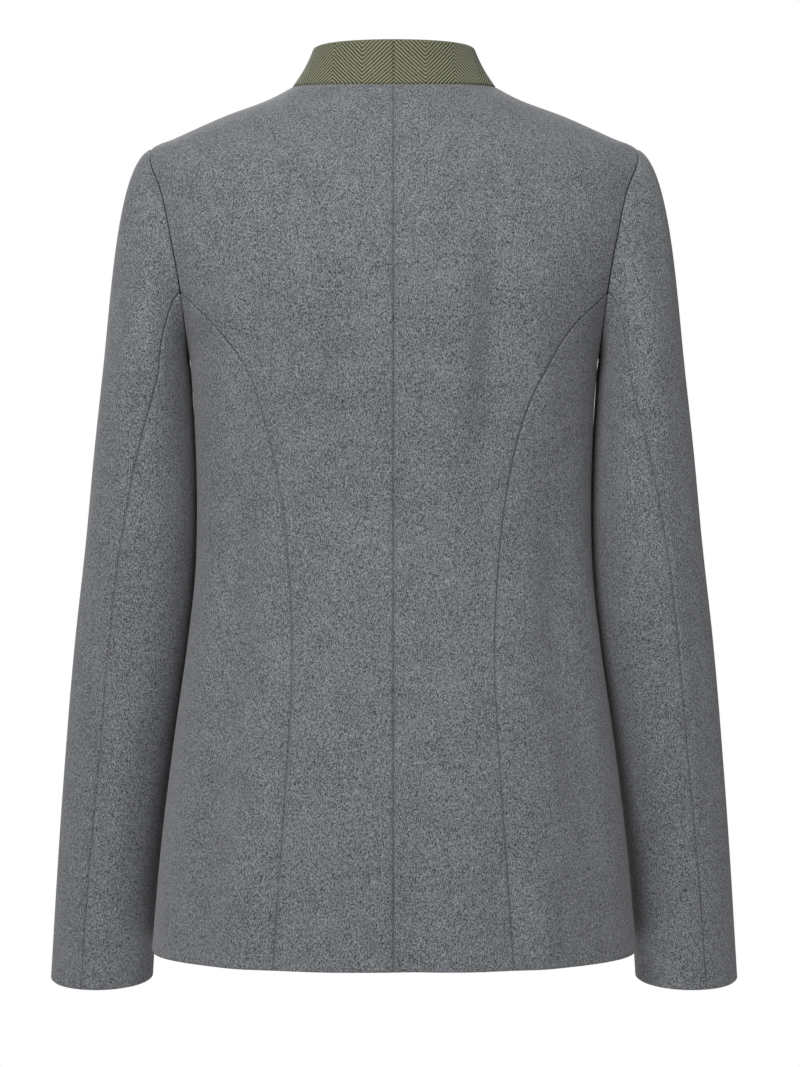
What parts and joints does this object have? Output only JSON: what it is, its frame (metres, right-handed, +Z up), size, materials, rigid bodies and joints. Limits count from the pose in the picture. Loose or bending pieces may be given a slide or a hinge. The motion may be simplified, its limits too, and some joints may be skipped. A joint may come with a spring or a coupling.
{
  "type": "tyrolean loden jacket",
  "caption": "Hollow worn form of a semi-fitted women's loden jacket with princess seams, two-piece sleeves, a stand collar and a buttoned front.",
  "frame": {"origin": "the middle of the neck opening, level with the points where shoulder seam and neck seam meet", "axes": "+Z up, -Y out of the front, +Y out of the back, +X to the wearer's left"},
  "size_m": [0.5244, 0.248, 0.7069],
  "materials": {
    "loden": "fulled grey melange wool, matt, with a fine nap",
    "collar_twill": "olive-green herringbone wool twill, matt",
    "horn": "polished brown horn, satin"
  },
  "bodies": {
    "root": {"back_left": "loden", "back_right": "loden", "side_back_left": "loden", "side_back_right": "loden", "side_front_left": "loden", "side_front_right": "loden", "upper_sleeve_left": "loden", "upper_sleeve_right": "loden", "under_sleeve_left": "loden", "under_sleeve_right": "loden", "collar_left": "collar_twill", "collar_right": "collar_twill", "front_left": "loden", "front_right": "loden", "button_1": "horn", "button_2": "horn", "button_3": "horn", "button_4": "horn", "button_5": "horn"}
  },
  "joints": []
}
